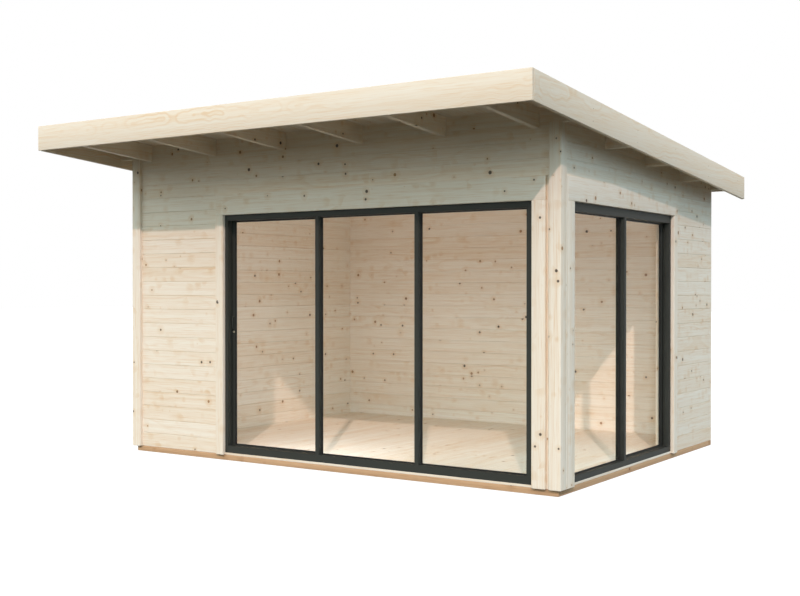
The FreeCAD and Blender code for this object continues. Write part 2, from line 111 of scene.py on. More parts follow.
WHITE = (1.0, 1.0, 1.0, 1.0)
FLOOR_BOUNCE = (0.022, 0.022, 0.014, 1.0)   # the floor's colour for the light that it throws up
FLOOR_SEEN = (0.30, 0.30, 0.30, 1.0)     # its colour where it is seen
FLOOR_LIFT = 0.80        # and its own glow there, which leaves the shadow
FLOOR_REACH = 60

# The sun and the camera, whose lens, place and turn were fitted together.
SUN_WAY = (-0.609, 1.0, -0.745)
SUN_WIDTH = 1.0          # in degrees
CAMERA_LENS = 51.496     # in millimetres, on a sensor 36 wide
CAMERA_SENSOR = 36
CAMERA_PLACE = (5.493, -8.325, 1.429)
CAMERA_DOWN = 0.489      # in degrees
CAMERA_LEFT = 33.815     # in degrees, from straight to the back
CAMERA_CLIP = 200

# Wood. A grain is how often a pattern changes in a metre along, across and through a board.
BOARD_SHIFT = (31.0, 17.0, 53.0)   # how far apart the palest and the darkest board lie in a pattern
YEAR_SHIFT = 40.0        # and how many rings
STREAK_GRAIN = (0.8, 42.0, 42.0)
FIBRE_GRAIN = (5.0, 170.0, 170.0)
CALM_GRAIN = (0.7, 5.0, 5.0)       # of the patches where rings show, and those where they don't
PITH_SWAY = (0, 0.10, 0.16)        # width and depth over which the pith wanders
RAGGED = 0.012           # how far a streak shifts the rings
SWOLLEN = 0.014          # how far a knot does
KNOTLESS = 0.45          # share of the pattern's cells that have no knot
KNOT_GROWTH = 0.030      # a knot's radius, times how far its cell's chance is over that share
KNOT_EDGE = 0.0030       # over which a knot fades into the wood
HALO = 4.0               # reach of the stained wood round a knot, in radii of the knot
TINY = 0.0001            # keeps a division from failing
STREAK_TONE = 0.42       # how far the strongest streak takes the wood to its late colour
FIBRE_TONE = 0.45        # and a fibre, the wood beside a knot, and a sawn end
HALO_TONE = 0.45
END_TONE = 0.22
WOOD_SHINE = 0.07        # how far the roughness of wood varies, up and down
WOOD_RELIEF = 0.0008     # from the hollows of its rings and streaks to their ridges

# Glass.
MIRROR_LEAST = 0.006     # share of the mirror image in glass seen square on
MIRROR_GAIN = 0.3        # and what it gains towards a grazing view


# Shapes.

class Grain:
    """Where a board's points lie in its own wood: along it, across it and through it.

    The pith, the middle of the growth rings, runs beside the board at a place drawn by chance.
    """

    def __init__(self, low, high, along):
        size = np.subtract(high, low)
        through, across = sorted({0, 1, 2} - {along}, key=lambda axis: size[axis])
        self.axes = [along, across, through]
        self.start = (np.array(low) + np.array(high))[self.axes] / 2
        self.start[0] = 0
        self.start[1] += draw.uniform(-PITH_ASIDE, PITH_ASIDE) * size[across]
        self.start[2] += draw.choice([-1, 1]) * draw.uniform(*PITH_AWAY) * size[through]
        self.tone = draw.uniform()

    def of(self, points):
        return points[..., self.axes] - self.start


class Form:
    """Closed solids gathered into one mesh."""

    def __init__(self):
        self.points, self.grains, self.tones, self.faces, self.cuts = [], [], [], [], []

    def solid(self, rings, grain=None):
        """A skin over rings (ring, point, xyz) with a flat face on each end, turned outwards.

        The sign of the volume that the skin holds about its middle says which way it faces.
        """
        count, around = rings.shape[:2]
        index = np.arange(count * around).reshape(count, around)
        beside = np.roll(index, -1, axis=1)
        sides = np.stack([index[:-1], beside[:-1], beside[1:], index[1:]], axis=-1).reshape(-1, 4)
        points = rings.reshape(-1, 3)
        a, b, c, d = (points[sides[:, corner]] - points.mean(0) for corner in range(4))
        inward = (np.cross(a, b) * c + np.cross(a, c) * d).sum() < 0
        faces = [*sides, index[0, ::-1], index[-1]]
        first = sum(len(part) for part in self.points)
        self.faces += [(face[::-1] if inward else face) + first for face in faces]
        self.cuts += [0.0] * len(sides) + [1.0, 1.0]
        self.points.append(points)
        self.grains.append(points if grain is None else grain.of(points))
        self.tones.append(np.full(len(points), 0.5 if grain is None else grain.tone))

    def piece(self, name, material, slot, stands_for=(), body="building"):
        """The mesh as an object that rides on a body and stands for CAD nodes."""
        mesh = bpy.data.meshes.new(name)
        mesh.from_pydata(np.concatenate(self.points).tolist(), [], [face.tolist() for face in self.faces])
        for label, kind, domain, values in (
            ("grain", "FLOAT_VECTOR", "POINT", np.concatenate(self.grains)),
            ("board", "FLOAT", "POINT", np.concatenate(self.tones)),
            ("cut", "FLOAT", "FACE", np.array(self.cuts)),
        ):
            field = "vector" if kind == "FLOAT_VECTOR" else "value"
            attribute = mesh.attributes.new(label, kind, domain)
            attribute.data.foreach_set(field, values.astype(np.float32).ravel())
        mesh.polygons.foreach_set("use_smooth", np.ones(len(mesh.polygons), bool))
        mesh.set_sharp_from_angle(angle=SHARP)
        mesh.materials.append(material)
        made = bpy.data.objects.new(name, mesh)
        bpy.context.scene.collection.objects.link(made)
        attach(made, body)
        if stands_for:
            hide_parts(*stands_for)
        return made


def outline(width, depth, radius, steps, lower=None):
    """A width by depth rectangle about 0, 0 whose corners are arcs of steps chords; one step is a
    chamfer. The two lower corners may have a radius of their own."""
    turn = np.linspace(0, np.pi / 2, steps + 1)
    arc = np.stack([np.cos(turn), np.sin(turn)], axis=1)
    quarter_turns = [(1, 1), (-1, 1), (-1, -1), (1, -1)]
    corners = []
    for order, (right, up) in enumerate(quarter_turns):
        reach = lower if lower and up < 0 else radius
        corner = np.array([right * (width / 2 - reach), up * (depth / 2 - reach)])
        bend = reach * arc * [right, up]
        corners.append(corner + (bend if order % 2 == 0 else bend[::-1]))
    return np.concatenate(corners)


def member(low, high, along, ease=EASE, steps=3, end_ease=None, lower=None):
    """A straight board or bar that fills a box: its eased outline carried along one axis.

    The first and last rings are drawn in, so that the ends are eased too.
    """
    low, high = np.array(low, float), np.array(high, float)
    across, through = [axis for axis in range(3) if axis != along]
    width, depth = high[across] - low[across], high[through] - low[through]
    end_ease = ease if end_ease is None else end_ease
    stations = [(low[along], end_ease), (low[along] + end_ease, 0), (high[along] - end_ease, 0),
                (high[along], end_ease)]
    if not end_ease:
        stations = stations[::3]
    rings = np.zeros((len(stations), 4 * (steps + 1), 3))
    for ring, (place, inset) in zip(rings, stations):
        section = outline(width - 2 * inset, depth - 2 * inset, max(ease - inset, ease / 5), steps, lower)
        ring[:, along] = place
        ring[:, across] = (low[across] + high[across]) / 2 + section[:, 0]
        ring[:, through] = (low[through] + high[through]) / 2 + section[:, 1]
    return rings


def solids(node):
    """The box of each separate solid in a CAD node: triangles that share a corner belong together."""
    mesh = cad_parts[node].data
    corners = np.array([vertex.co for vertex in mesh.vertices])
    places, which = np.unique(corners.round(5), axis=0, return_inverse=True)
    triangles = which.ravel()[np.array([list(face.vertices) for face in mesh.polygons])]
    group = np.arange(len(places))
    settled = False
    while not settled:
        before = group.copy()
        np.minimum.at(group, triangles, group[triangles].min(axis=1, keepdims=True))
        settled = (before == group).all()
    boxes = [(places[group == each].min(0), places[group == each].max(0)) for each in np.unique(group)]
    return sorted(boxes, key=lambda box: tuple(box[0].round(3)))


# The roof's fall, read off its deck.

DECK_LOW, DECK_HIGH = (np.array(corner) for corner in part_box("roof_deck"))
FALL = (DECK_HIGH[2] - DECK_LOW[2] - DECK_THICKNESS) / (DECK_HIGH[1] - DECK_LOW[1])


def deck_under(y):
    """Height of the roof deck's underside."""
    return DECK_LOW[2] + FALL * (DECK_HIGH[1] - y)


# Colours and materials.

def colour(code):
    """An sRGB hex value as linear red, green, blue and alpha."""
    parts = np.array([int(code[place:place + 2], 16) for place in (1, 3, 5)]) / 255
    linear = np.where(parts <= 0.04045, parts / 12.92, ((parts + 0.055) / 1.055) ** 2.4)
    return (*linear.tolist(), 1.0)


def add(tree, kind, inputs=(), **settings):
    """Adds a node with its settings. Each input, by name or place, takes a value, a socket or a node.

    The inputs 6 and 7 of a Mix of colours are the colours at factors 0 and 1.
    """
    made = tree.nodes.new(f"ShaderNode{kind}")
    for name, value in settings.items():
        setattr(made, name, value)
    for socket, value in dict(inputs).items():
        if isinstance(value, bpy.types.Node):
            value = value.outputs[0]
        if isinstance(value, bpy.types.NodeSocket):
            tree.links.new(value, made.inputs[socket])
        else:
            made.inputs[socket].default_value = value
    return made


def material(name):
    """An empty material with its tree and its output node."""
    made = bpy.data.materials.new(name)
    made.use_nodes = True
    made.node_tree.nodes.clear()
    return made, made.node_tree, add(made.node_tree, "OutputMaterial")


def wood(name, early, late, live_knot, dead_knot, knot_spacing, ring_width, figure, flames, roughness,
         tones):
    """Softwood in each board's own grain: growth rings round a wandering pith, streaks and knots.

    ring_width is drawn several times the real 2 to 4 mm, because real rings are too fine to show.
    Knots sit in the cells of a Voronoi pattern; a cell's random colour says if it has one, how
    large it is and how dark. The rings swell round each knot. flames is how often per metre the
    pith wanders, which draws the arches of flat-sawn wood, and tones is how far boards differ.
    Noise seldom leaves the middle of its range, so a MapRange widens that middle to the full range.
    """
    made, tree, output = material(name)
    grain = add(tree, "Attribute", attribute_name="grain").outputs["Vector"]
    board = add(tree, "Attribute", attribute_name="board").outputs["Fac"]
    cut = add(tree, "Attribute", attribute_name="cut").outputs["Fac"]
    apart = add(tree, "VectorMath", {0: BOARD_SHIFT, "Scale": board}, operation="SCALE")
    own = add(tree, "VectorMath", {0: grain, 1: apart}, operation="ADD")

    knots = add(tree, "TexVoronoi", {"Vector": own, "Scale": 1 / knot_spacing})
    chance = add(tree, "SeparateColor", {"Color": knots.outputs["Color"]})
    over = add(tree, "Math", {0: chance.outputs["Red"], 1: KNOTLESS}, operation="SUBTRACT", use_clamp=True)
    radius = add(tree, "Math", {0: over, 1: KNOT_GROWTH / knot_spacing}, operation="MULTIPLY")
    inside = add(tree, "Math", {0: radius, 1: knots.outputs["Distance"]}, operation="SUBTRACT")
    knot = add(tree, "Math", {0: inside, 1: KNOT_EDGE / knot_spacing}, operation="DIVIDE", use_clamp=True)
    reach = add(tree, "Math", {0: radius, 1: HALO, 2: TINY}, operation="MULTIPLY_ADD")
    spread = add(tree, "Math", {0: knots.outputs["Distance"], 1: reach}, operation="DIVIDE")
    halo = add(tree, "Math", {0: 1.0, 1: spread}, operation="SUBTRACT", use_clamp=True)

    streak_place = add(tree, "VectorMath", {0: own, 1: STREAK_GRAIN}, operation="MULTIPLY")
    streaks = add(tree, "TexNoise", {"Vector": streak_place, "Scale": 1.0, "Detail": 4.0, "Roughness": 0.62})
    wander_place = add(tree, "VectorMath", {0: own, 1: (flames, 0, 0)}, operation="MULTIPLY")
    wander = add(tree, "TexNoise", {"Vector": wander_place, "Scale": 1.0, "Detail": 2.0})
    off_centre = add(tree, "VectorMath", {0: wander.outputs["Color"], 1: (0.5, 0.5, 0.5)},
                     operation="SUBTRACT")
    sway = add(tree, "VectorMath", {0: off_centre, 1: PITH_SWAY}, operation="MULTIPLY")
    level = add(tree, "VectorMath", {0: grain, 1: (0, 1.0, 1.0)}, operation="MULTIPLY")
    from_pith = add(tree, "VectorMath", {0: level, 1: sway}, operation="ADD")
    distance = add(tree, "VectorMath", {0: from_pith}, operation="LENGTH").outputs["Value"]
    ragged = add(tree, "Math", {0: streaks, 1: RAGGED, 2: distance}, operation="MULTIPLY_ADD")
    swollen = add(tree, "Math", {0: halo, 1: SWOLLEN, 2: ragged}, operation="MULTIPLY_ADD")
    years = add(tree, "Math", {0: swollen, 1: 1 / ring_width}, operation="MULTIPLY")
    own_years = add(tree, "Math", {0: board, 1: YEAR_SHIFT, 2: years}, operation="MULTIPLY_ADD")
    wave = add(tree, "TexNoise", {"W": own_years, "Scale": 1.0, "Detail": 1.0}, noise_dimensions="1D")
    rings = add(tree, "MapRange", {"Value": wave, "From Min": 0.46, "From Max": 0.74})

    fibre_place = add(tree, "VectorMath", {0: own, 1: FIBRE_GRAIN}, operation="MULTIPLY")
    fibres = add(tree, "TexNoise", {"Vector": fibre_place, "Scale": 1.0, "Detail": 3.0})
    fibre_part = add(tree, "MapRange", {"Value": fibres, "From Min": 0.52, "From Max": 0.74,
                                       "To Max": FIBRE_TONE})
    calm_place = add(tree, "VectorMath", {0: own, 1: CALM_GRAIN}, operation="MULTIPLY")
    calm = add(tree, "TexNoise", {"Vector": calm_place, "Scale": 1.0, "Detail": 2.0})
    shown = add(tree, "MapRange", {"Value": calm, "From Min": 0.35, "From Max": 0.68})
    strength = add(tree, "Math", {0: shown, 1: figure}, operation="MULTIPLY")
    ring_part = add(tree, "Math", {0: rings, 1: strength}, operation="MULTIPLY")
    streak_part = add(tree, "MapRange", {"Value": streaks, "From Min": 0.35, "From Max": 0.8,
                                         "To Max": STREAK_TONE})
    toned = add(tree, "Math", {0: board, 1: tones, 2: streak_part}, operation="MULTIPLY_ADD")
    ringed = add(tree, "Math", {0: toned, 1: ring_part}, operation="ADD")
    grained = add(tree, "Math", {0: ringed, 1: fibre_part}, operation="ADD")
    stained = add(tree, "Math", {0: halo, 1: HALO_TONE, 2: grained}, operation="MULTIPLY_ADD")
    ended = add(tree, "Math", {0: cut, 1: END_TONE, 2: stained}, operation="MULTIPLY_ADD",
                use_clamp=True)
    plain = add(tree, "Mix", {"Factor": ended, 6: colour(early), 7: colour(late)}, data_type="RGBA")
    dead = add(tree, "MapRange", {"Value": chance.outputs["Green"], "From Min": 0.35, "From Max": 0.6})
    core = add(tree, "Mix", {"Factor": dead, 6: colour(live_knot), 7: colour(dead_knot)}, data_type="RGBA")
    base = add(tree, "Mix", {"Factor": knot, 6: plain.outputs[2], 7: core.outputs[2]}, data_type="RGBA")

    rough = add(tree, "MapRange", {"Value": streaks, "To Min": roughness - WOOD_SHINE,
                                   "To Max": roughness + WOOD_SHINE})
    raised = add(tree, "Math", {0: ring_part, 1: streaks}, operation="ADD")
    sunk = add(tree, "Math", {0: raised, 1: knot}, operation="SUBTRACT")
    bump = add(tree, "Bump", {"Height": sunk, "Strength": 0.35, "Distance": WOOD_RELIEF})
    skin = add(tree, "BsdfPrincipled", {"Base Color": base.outputs[2], "Roughness": rough, "Normal": bump})
    tree.links.new(skin.outputs[0], output.inputs["Surface"])
    return made


def planed_spruce(name, knot_spacing, figure, flames, tones, early="#F2E9DA"):
    """Spruce, planed and left bare: pale cream with soft straw-coloured grain and small dark knots."""
    return wood(name, early=early, late="#DEC09B", live_knot="#A37C54", dead_knot="#57493B",
                knot_spacing=knot_spacing, ring_width=0.017, figure=figure, flames=flames, roughness=0.62,
                tones=tones)


def impregnated_pine():
    """Pine, sawn and pressure impregnated: an orange-brown tint over the grain, and no shine."""
    return wood("impregnated_pine_sawn", early="#CDA680", late="#A98058", live_knot="#94643C",
                dead_knot="#5C4330", knot_spacing=0.090, ring_width=0.015, figure=0.35, flames=0.9,
                roughness=0.8, tones=0.25)


def powder_coated_aluminium():
    """Aluminium, powder coated in a dark grey: near black, satin, with a fine orange-peel skin."""
    made, tree, output = material("aluminium_powder_coated")
    place = add(tree, "TexCoord").outputs["Object"]
    peel = add(tree, "TexNoise", {"Vector": place, "Scale": 350.0, "Detail": 2.0})
    cloud = add(tree, "TexNoise", {"Vector": place, "Scale": 2.5, "Detail": 2.0})
    base = add(tree, "Mix", {"Factor": cloud, 6: colour("#2C2E2A"), 7: colour("#373934")}, data_type="RGBA")
    rough = add(tree, "MapRange", {"Value": peel, "To Min": 0.5, "To Max": 0.64})
    bump = add(tree, "Bump", {"Height": peel, "Strength": 0.12, "Distance": 0.0003})
    skin = add(tree, "BsdfPrincipled", {"Base Color": base.outputs[2], "Roughness": rough, "Normal": bump,
                                        "Specular IOR Level": 0.2})
    tree.links.new(skin.outputs[0], output.inputs["Surface"])
    return made


def float_glass():
    """Float glass, clear: what is behind shows through, with a weak mirror image that grows as the
    fifth power of the slant."""
    made, tree, output = material("float_glass_clear")
    place = add(tree, "TexCoord").outputs["Object"]
    film = add(tree, "TexNoise", {"Vector": place, "Scale": 1.6, "Detail": 2.0})
    tint = add(tree, "Mix", {"Factor": film, 6: colour("#FBFDFC"), 7: colour("#FEFFFE")}, data_type="RGBA")
    through = add(tree, "BsdfTransparent", {"Color": tint.outputs[2]})
    mirror = add(tree, "BsdfGlossy", {"Roughness": 0.0})
    facing = add(tree, "LayerWeight", {"Blend": 0.5}).outputs["Facing"]
    slant = add(tree, "Math", {0: facing, 1: 5.0}, operation="POWER")
    amount = add(tree, "Math", {0: slant, 1: MIRROR_GAIN, 2: MIRROR_LEAST}, operation="MULTIPLY_ADD")
    skin = add(tree, "MixShader", {0: amount, 1: through, 2: mirror})
    tree.links.new(skin.outputs[0], output.inputs["Surface"])
    return made


def sealing_rubber():
    """EPDM rubber, extruded: black and dull, with a faint bloom along it."""
    made, tree, output = material("epdm_rubber_extruded")
    place = add(tree, "TexCoord").outputs["Object"]
    bloom = add(tree, "TexNoise", {"Vector": place, "Scale": 14.0, "Detail": 3.0})
    base = add(tree, "Mix", {"Factor": bloom, 6: colour("#141414"), 7: colour("#232322")}, data_type="RGBA")
    skin = add(tree, "BsdfPrincipled", {"Base Color": base.outputs[2], "Roughness": 0.75})
    tree.links.new(skin.outputs[0], output.inputs["Surface"])
    return made


def roofing_sheet():
    """EPDM rubber sheet, calendered: matt dark grey, paler where dust lies and water has dried."""
    made, tree, output = material("epdm_sheet_calendered")
    place = add(tree, "TexCoord").outputs["Object"]
    dust = add(tree, "TexNoise", {"Vector": place, "Scale": 2.2, "Detail": 5.0, "Roughness": 0.6})
    grit = add(tree, "TexNoise", {"Vector": place, "Scale": 220.0, "Detail": 2.0})
    lie = add(tree, "MapRange", {"Value": dust, "From Min": 0.42, "From Max": 0.72})
    base = add(tree, "Mix", {"Factor": lie, 6: colour("#3A3E3E"), 7: colour("#484C48")}, data_type="RGBA")
    rough = add(tree, "MapRange", {"Value": dust, "To Min": 0.68, "To Max": 0.9})
    bump = add(tree, "Bump", {"Height": grit, "Strength": 0.3, "Distance": 0.0005})
    skin = add(tree, "BsdfPrincipled", {"Base Color": base.outputs[2], "Roughness": rough, "Normal": bump})
    tree.links.new(skin.outputs[0], output.inputs["Surface"])
    return made


def plated_metal(name, low, high, roughness):
    """Metal with a turned or drawn finish: fine lines that widen its highlight."""
    made, tree, output = material(name)
    place = add(tree, "TexCoord").outputs["Object"]
    drawn = add(tree, "VectorMath", {0: place, 1: (900.0, 900.0, 90.0)}, operation="MULTIPLY")
    lines = add(tree, "TexNoise", {"Vector": drawn, "Scale": 1.0, "Detail": 2.0})
    base = add(tree, "Mix", {"Factor": lines, 6: colour(low), 7: colour(high)}, data_type="RGBA")
    rough = add(tree, "MapRange", {"Value": lines, "To Min": roughness - 0.08, "To Max": roughness + 0.08})
    skin = add(tree, "BsdfPrincipled", {"Base Color": base.outputs[2], "Roughness": rough, "Metallic": 1.0})
    tree.links.new(skin.outputs[0], output.inputs["Surface"])
    return made


SPRUCE_LOGS = planed_spruce("spruce_logs_planed", knot_spacing=0.090, figure=0.34, flames=1.5,
                            tones=0.22)
SPRUCE_TIMBER = planed_spruce("spruce_timber_planed", knot_spacing=0.075, figure=0.25, flames=1.0,
                              tones=0.12)
# The edge boards are the same spruce with a darker early colour: painted shade that brings the fascia and
# verges, which the light leaves brighter, down to the walls' tone.
SPRUCE_EDGE_PAINTED_SHADE = planed_spruce("spruce_edge_boards_painted_shade", knot_spacing=0.300, figure=0.52, flames=4.2,
                            tones=0.16, early="#E8DECE")
SPRUCE_BOARDS = planed_spruce("spruce_boards_planed", knot_spacing=0.100, figure=0.30, flames=1.3,
                              tones=0.22)
PINE = impregnated_pine()
ALUMINIUM = powder_coated_aluminium()
GLASS = float_glass()
RUBBER = sealing_rubber()
ROOF_SHEET = roofing_sheet()
# Brass, nickel plated, on the lock; a warm pale metal.
NICKEL = plated_metal("brass_nickel_plated", "#B4AA94", "#D6CDB8", 0.28)
# Steel, zinc plated and weathered, on the nails; brown-grey dots.
NAIL_STEEL = plated_metal("steel_zinc_plated", "#8A7156", "#A58A6B", 0.5)


def strip(form, low, high, along, ease=EASE, capped=False, falling=False, **shape):
    """Adds one board to a form. A capped board is cut off under the roof deck, and a falling one,
    whose box is its CAD box, leans with the roof from its front end."""
    low, high = np.array(low, float), np.array(high, float)
    if falling:
        low[2] += FALL * (high[1] - low[1])
    rings = member(low, high, along, ease, **shape)
    if falling:
        rings[..., 2] += FALL * (low[1] - rings[..., 1])
    if capped:
        rings[..., 2] = np.minimum(rings[..., 2], deck_under(rings[..., 1]))
    form.solid(rings, Grain(low, high, along))


def boards(node, along, finish=None, slot="timber", **shape):
    """One eased board for each solid of a CAD node."""
    form = Form()
    for low, high in solids(node):
        strip(form, low, high, along, **shape)
    form.piece(f"{node}_eased", finish or SPRUCE_TIMBER, slot, [node])


# Log walls.

def courses(low, high):
    """The foot and the top of each log in a wall, the last one cut to what is left."""
    feet = np.arange(low[2], high[2] - THIN, LOG_COVER)
    return zip(feet, np.minimum(feet + LOG_COVER, high[2]))


def level_wall(node, along):
    """A wall whose logs are all whole, with a V joint between each two."""
    low, high = map(np.array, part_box(node))
    form = Form()
    for foot, top in courses(low, high):
        strip(form, (*low[:2], foot), (*high[:2], top), along, LOG_CHAMFER, steps=1, end_ease=0,
              lower=LOG_DRIP)
    form.piece(f"{node}_logs", SPRUCE_LOGS, "logs", [node])


def gable_wall(node):
    """A side wall: each log runs back until the roof deck comes down to its foot, and where the deck
    is under its top, the log is sawn off along the deck."""
    low, high = map(np.array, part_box(node))
    form = Form()
    for foot, top in courses(low, high):
        meets = [np.clip(DECK_HIGH[1] - (height - DECK_LOW[2]) / FALL, low[1], high[1])
                 for height in (top, foot + THIN)]
        stations = np.unique(np.round([low[1], *meets], 6))
        level = member((low[0], low[1], foot), (high[0], high[1], top), 1, LOG_CHAMFER, 1, 0, LOG_DRIP)
        rings = np.repeat(level[:1], len(stations), axis=0)
        rings[..., 1] = stations[:, None]
        rings[..., 2] = np.minimum(rings[..., 2], deck_under(rings[..., 1]))
        form.solid(rings, Grain((low[0], low[1], foot), (high[0], high[1], top), 1))
    form.piece(f"{node}_logs", SPRUCE_LOGS, "logs", [node])


level_wall("front_wall_left", 0)
level_wall("front_wall_top", 0)
level_wall("back_wall", 0)
level_wall("side_wall_rear", 1)
gable_wall("left_wall")
gable_wall("side_wall_top")
boards("corner_strips", 2, slot="logs")

# Posts, door linings, lintels and sills.

for post in ("corner_post_left", "corner_post_right", "front_jamb_left", "front_jamb_right",
             "side_jamb_front", "side_jamb_rear"):
    boards(post, 2)
boards("front_lintel", 0)
boards("side_lintel", 1)


def sills():
    """The planed strips under the glazed units, each along its own wall."""
    form = Form()
    for low, high in solids("sills"):
        strip(form, low, high, int(high[1] - low[1] > high[0] - low[0]), EDGE_EASE)
    form.piece("sills_eased", SPRUCE_BOARDS, "boards", ["sills"])


sills()

# Base and floor.

for beams, along in (("base_beam_front", 0), ("base_beam_back", 0), ("base_beams_side", 1),
                     ("floor_joists", 0)):
    boards(beams, along, PINE, "treated_pine")


def boarding(node, name, falling):
    """Tongued boards side by side that run front to back, with a V joint between each two."""
    low, high = map(np.array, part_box(node))
    count = round((high[0] - low[0]) / BOARD_COVER)
    edges = np.linspace(low[0], high[0], count + 1)
    form = Form()
    for left, right in zip(edges[:-1], edges[1:]):
        strip(form, (left, *low[1:]), (right, *high[1:]), 1, BOARD_CHAMFER, falling=falling, steps=1,
              end_ease=0)
    form.piece(name, SPRUCE_BOARDS, "boards", [node])


boarding("floor_boards", "floor_boards_laid", False)
boarding("roof_deck", "roof_deck_boards", True)

# Purlins, lookouts, and the boards round the roof's edge.

boards("front_purlin", 0, capped=True)
boards("middle_purlins", 0, capped=True)
boards("back_purlin", 0, capped=True)
boards("canopy_lookouts", 1, falling=True)
boards("front_fascia", 0, SPRUCE_EDGE_PAINTED_SHADE, "edge_boards", ease=EDGE_EASE)
boards("rear_fascia", 0, SPRUCE_EDGE_PAINTED_SHADE, "edge_boards", ease=EDGE_EASE)
boards("left_verge", 1, SPRUCE_EDGE_PAINTED_SHADE, "edge_boards", ease=EDGE_EASE, falling=True)
boards("right_verge", 1, SPRUCE_EDGE_PAINTED_SHADE, "edge_boards", ease=EDGE_EASE, falling=True)


def roof_sheets():
    """Rubber sheets laid across the slope, each lapped over the one below it.

    One outline, front to back, is carried from side to side: flat below, and above it a tread
    for each sheet, raised where two sheets lap.
    """
    low, high = map(np.array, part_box("roof_covering"))
    thick = high[2] - low[2] - FALL * (high[1] - low[1])
    seams = np.linspace(low[1], high[1], SHEETS + 1)[1:-1]
    lap = np.stack([seams - SHEET_LAP, seams - SHEET_LAP, seams, seams], axis=1).ravel()
    across = np.concatenate([[low[1], low[1]], lap, [high[1], high[1]]])
    double = LAP_THICKNESS * thick
    above = np.concatenate([[0, thick], np.tile([thick, double, double, thick], SHEETS - 1), [thick, 0]])
    rings = np.zeros((2, len(across), 3))
    rings[..., 0] = [[low[0]], [high[0]]]
    rings[..., 1] = across
    rings[..., 2] = high[2] - thick + FALL * (low[1] - across) + above
    form = Form()
    form.solid(rings)
    form.piece("roof_sheets_lapped", ROOF_SHEET, "roof_membrane", ["roof_covering"])


roof_sheets()


def nail_head(form, centre, side):
    """A low dome, out to the right where side is 1 and to the left where it is -1. Its radius falls
    as the cosine of an angle, and its height rises as the sine. The first ring is sunk."""
    turn = np.linspace(0, 2 * np.pi, NAIL_SIDES, endpoint=False)
    climb = np.array([0, 0, 0.7, 1.3])
    reach = NAIL_RADIUS * np.cos(climb)
    height = NAIL_PROUD * (np.sin(climb) - [1, 0, 0, 0])
    rings = np.zeros((len(climb), NAIL_SIDES, 3))
    rings[..., 0] = side * height[:, None]
    rings[..., 1] = reach[:, None] * np.cos(turn)
    rings[..., 2] = reach[:, None] * np.sin(turn)
    form.solid(rings + centre)


def verge_nails():
    """Two nails through each verge board into the end of each purlin, a little out of line."""
    form = Form()
    purlins = [box for node in ("front_purlin", "middle_purlins", "back_purlin") for box in solids(node)]
    left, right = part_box("left_verge")[0][0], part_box("right_verge")[1][0]
    for low, high in purlins:
        for face, side in ((left, -1), (right, 1)):
            for drop in NAIL_DROPS:
                y = (low[1] + high[1]) / 2 + draw.uniform(-NAIL_ASTRAY, NAIL_ASTRAY)
                z = high[2] - drop + draw.uniform(-NAIL_UNEVEN, NAIL_UNEVEN)
                nail_head(form, (face, y, z), side)
    form.piece("verge_nails", NAIL_STEEL, "lock_metal")


verge_nails()

# Glazed units. Each is drawn along its wall, back from its outer face, and up.

UNITS = {
    "front": {"along": 0, "inward": 1, "panes": "front_fixed_panes"},
    "side": {"along": 1, "inward": -1, "panes": "side_fixed_pane"},
}


def extrusion(side, start, end, depths, heights):
    """An aluminium bar: an outline of depths from the unit's face and heights, carried along the unit."""
    unit = UNITS[side]
    low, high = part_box(f"{side}_frame_sill")
    across = 1 - unit["along"]
    face = low[across] if unit["inward"] > 0 else high[across]
    rings = np.zeros((2, len(depths), 3))
    rings[..., unit["along"]] = [[start], [end]]
    rings[..., across] = face + unit["inward"] * np.array(depths)
    rings[..., 2] = heights
    return rings


def ring_of(form, low, high, along, width, ease=RUBBER_EASE):
    """Four strips round the inside of an upright opening: two stiles, and two rails between them."""
    low, high = np.array(low, float), np.array(high, float)
    step = np.zeros(3)
    step[along] = width
    span = np.zeros(3)
    span[along] = high[along] - low[along] - width
    strip(form, low, high - span, 2, ease, steps=1)
    strip(form, low + span, high, 2, ease, steps=1)
    drop = np.array([0, 0, high[2] - low[2] - width])
    strip(form, low + step, high - step - drop, along, ease, steps=1)
    strip(form, low + step + drop, high - step, along, ease, steps=1)


def fixed_frame(side):
    """Head and sill, whose arrises a bevel eases, and the uprights between them."""
    unit = UNITS[side]
    along = unit["along"]
    low, high = map(np.array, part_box(f"{side}_frame_sill"))
    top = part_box(f"{side}_frame_head")[1][2]
    uprights = solids(f"{side}_frame_uprights")
    foot, head = uprights[0][0][2], uprights[0][1][2]
    depths = np.array([0, FACE_DEPTH, FACE_DEPTH, LIP_DEPTH, LIP_DEPTH, UNIT_DEPTH, UNIT_DEPTH, 0])
    rise, drop = foot - low[2], top - head
    track, channel = [TRACK_HEIGHT] * 2, [HEAD_WEB] * 2
    track_lip, channel_lip = [TRACK_HEIGHT + LIP_HEIGHT] * 2, [HEAD_WEB + LIP_HEIGHT] * 2
    sill = low[2] + np.array([rise, rise, *track, *track_lip, 0, 0])
    guide = top - np.array([drop, drop, *channel, *channel_lip, 0, 0])
    for part, heights in (("sill", sill), ("head", guide)):
        form = Form()
        form.solid(extrusion(side, low[along], high[along], depths, heights))
        eased(form.piece(f"{side}_frame_{part}_bar", ALUMINIUM, "black_frame", [f"{side}_frame_{part}"]))
    form = Form()
    for start, end in uprights:
        strip(form, start, end, 2, BAR_EASE, end_ease=0)
    form.piece(f"{side}_frame_upright_bars", ALUMINIUM, "black_frame", [f"{side}_frame_uprights"])


def eased(piece):
    """A bevel on a bar's sharp arrises."""
    bevel = piece.modifiers.new("eased", "BEVEL")
    bevel.width = BAR_EASE
    bevel.segments = 2
    bevel.limit_method = "ANGLE"
    bevel.harden_normals = True


